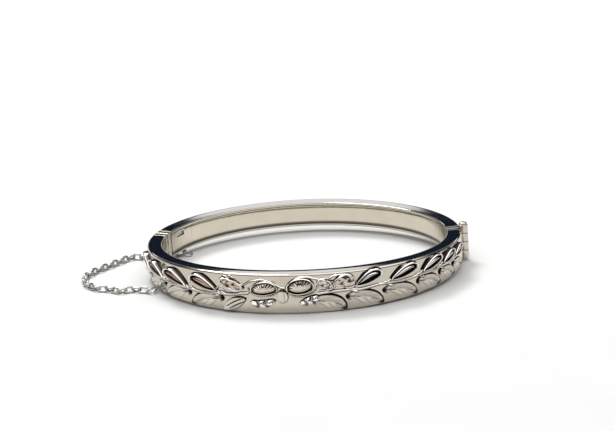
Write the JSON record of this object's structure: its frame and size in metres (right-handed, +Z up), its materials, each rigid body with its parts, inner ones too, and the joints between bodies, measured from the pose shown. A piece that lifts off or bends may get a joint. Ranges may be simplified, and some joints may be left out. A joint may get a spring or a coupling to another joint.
{
  "type": "bangle bracelet",
  "caption": "Hinged oval bangle with a leaf-decorated front half, a plain back half, a box clasp with a spring tongue and a fine safety chain.",
  "frame": {"origin": "under the centre of the oval, on the surface the bangle stands on", "axes": "+X towards the hinge, -X towards the clasp and the safety chain, -Y towards the decorated front, +Z up along the hinge pin"},
  "size_m": [0.0781, 0.0548, 0.0082],
  "materials": {
    "polished_silver": "mirror polished silver with fine hairline scratches",
    "inner_silver": "polished silver, slightly worn on the wrist side",
    "ornament_silver": "polished relief, darkened in the hollows",
    "hinge_silver": "polished, worn on the knuckles",
    "spring_silver": "rolled sheet, satin",
    "chain_silver": "polished fine wire"
  },
  "bodies": {
    "back_half": {"back_outer_shell": "polished_silver", "back_inner_liner": "inner_silver", "tongue_anchor_plate": "inner_silver", "back_hinge_block": "polished_silver", "tongue_end_block": "polished_silver", "tongue_base_leaf": "spring_silver", "back_knuckle_1": "hinge_silver", "back_knuckle_2": "hinge_silver", "hinge_pin": "hinge_silver", "back_chain_lug": "chain_silver", "back_jump_ring": "chain_silver"},
    "front_half": {"front_outer_shell": "polished_silver", "front_inner_liner": "inner_silver", "front_hinge_block": "polished_silver", "clasp_box_mouth": "polished_silver", "front_knuckle_1": "hinge_silver", "front_knuckle_2": "hinge_silver", "front_chain_lug": "chain_silver", "front_jump_ring": "chain_silver", "leaf_upper_left_1": "ornament_silver", "leaf_upper_left_2": "ornament_silver", "leaf_upper_left_3": "ornament_silver", "leaf_upper_left_4": "ornament_silver", "leaf_upper_right_1": "ornament_silver", "leaf_upper_right_2": "ornament_silver", "leaf_upper_right_3": "ornament_silver", "leaf_upper_right_4": "ornament_silver", "leaf_upper_right_5": "ornament_silver", "leaf_lower_left_1": "ornament_silver", "leaf_lower_left_2": "ornament_silver", "leaf_lower_left_3": "ornament_silver", "leaf_lower_left_4": "ornament_silver", "leaf_lower_right_1": "ornament_silver", "leaf_lower_right_2": "ornament_silver", "leaf_lower_right_3": "ornament_silver", "leaf_lower_right_4": "ornament_silver", "leaf_lower_right_5": "ornament_silver", "leaf_lower_right_6": "ornament_silver", "bud_left": "ornament_silver", "bud_right": "ornament_silver", "bow_petal": "ornament_silver", "ripple_left": "ornament_silver", "ripple_right": "ornament_silver", "pointed_leaf": "ornament_silver", "blossom_left": "ornament_silver", "blossom_right": "ornament_silver", "curl_right": "ornament_silver", "vine_left": "ornament_silver", "vine_right": "ornament_silver"},
    "clasp_spring": {"tongue_spring_leaf": "spring_silver", "clasp_thumb_piece": "hinge_silver"},
    "chain_1": {"chain_segment_1": "chain_silver"},
    "chain_2": {"chain_segment_2": "chain_silver"},
    "chain_3": {"chain_segment_3": "chain_silver"},
    "chain_4": {"chain_segment_4": "chain_silver"},
    "chain_5": {"chain_segment_5": "chain_silver"},
    "chain_6": {"chain_segment_6": "chain_silver"},
    "chain_7": {"chain_segment_7": "chain_silver"},
    "chain_8": {"chain_segment_8": "chain_silver"}
  },
  "joints": [
    {"name": "bangle_hinge", "type": "hinge", "parent": "back_half", "child": "front_half", "pos_m": [0.03199, 0.00459, 0.0041], "axis": [0, 0, 1], "range_deg": [0, 18]},
    {"name": "tongue_press", "type": "hinge", "parent": "back_half", "child": "clasp_spring", "pos_m": [-0.03019, -0.00099, 0.0041], "axis": [0, 0, -1], "range_deg": [0, 4], "stiffness_Nm_per_rad": 0.02},
    {"name": "chain_turn_1", "type": "hinge", "parent": "back_half", "child": "chain_1", "pos_m": [-0.026, 0.0102, 0.00047], "axis": [0, 0, 1], "range_deg": [-1, 55]},
    {"name": "chain_turn_2", "type": "hinge", "parent": "chain_1", "child": "chain_2", "pos_m": [-0.03167, 0.00894, 0.00047], "axis": [0, 0, 1], "range_deg": [-1, 5]},
    {"name": "chain_turn_3", "type": "hinge", "parent": "chain_2", "child": "chain_3", "pos_m": [-0.03733, 0.00814, 0.00047], "axis": [0, 0, 1], "range_deg": [-31, 1]},
    {"name": "chain_turn_4", "type": "hinge", "parent": "chain_3", "child": "chain_4", "pos_m": [-0.04079, 0.00346, 0.00047], "axis": [0, 0, 1], "range_deg": [-4, 1]},
    {"name": "chain_turn_5", "type": "hinge", "parent": "chain_4", "child": "chain_5", "pos_m": [-0.04391, -0.00149, 0.00047], "axis": [0, 0, 1], "range_deg": [-16, 1]},
    {"name": "chain_turn_6", "type": "hinge", "parent": "chain_5", "child": "chain_6", "pos_m": [-0.04439, -0.00715, 0.00047], "axis": [0, 0, 1], "range_deg": [-24, 1]},
    {"name": "chain_turn_7", "type": "hinge", "parent": "chain_6", "child": "chain_7", "pos_m": [-0.0408, -0.01155, 0.00047], "axis": [0, 0, 1], "range_deg": [-23, 1]},
    {"name": "chain_turn_8", "type": "hinge", "parent": "chain_7", "child": "chain_8", "pos_m": [-0.03533, -0.01303, 0.00047], "axis": [0, 0, 1], "range_deg": [-11, 1]}
  ],
  "couplings": [
    {"joint": "chain_turn_1", "follows": "bangle_hinge", "ratio": 2.978},
    {"joint": "chain_turn_2", "follows": "bangle_hinge", "ratio": 0.181},
    {"joint": "chain_turn_3", "follows": "bangle_hinge", "ratio": -1.622},
    {"joint": "chain_turn_4", "follows": "bangle_hinge", "ratio": -0.133},
    {"joint": "chain_turn_5", "follows": "bangle_hinge", "ratio": -0.78},
    {"joint": "chain_turn_6", "follows": "bangle_hinge", "ratio": -1.252},
    {"joint": "chain_turn_7", "follows": "bangle_hinge", "ratio": -1.211},
    {"joint": "chain_turn_8", "follows": "bangle_hinge", "ratio": -0.545}
  ]
}
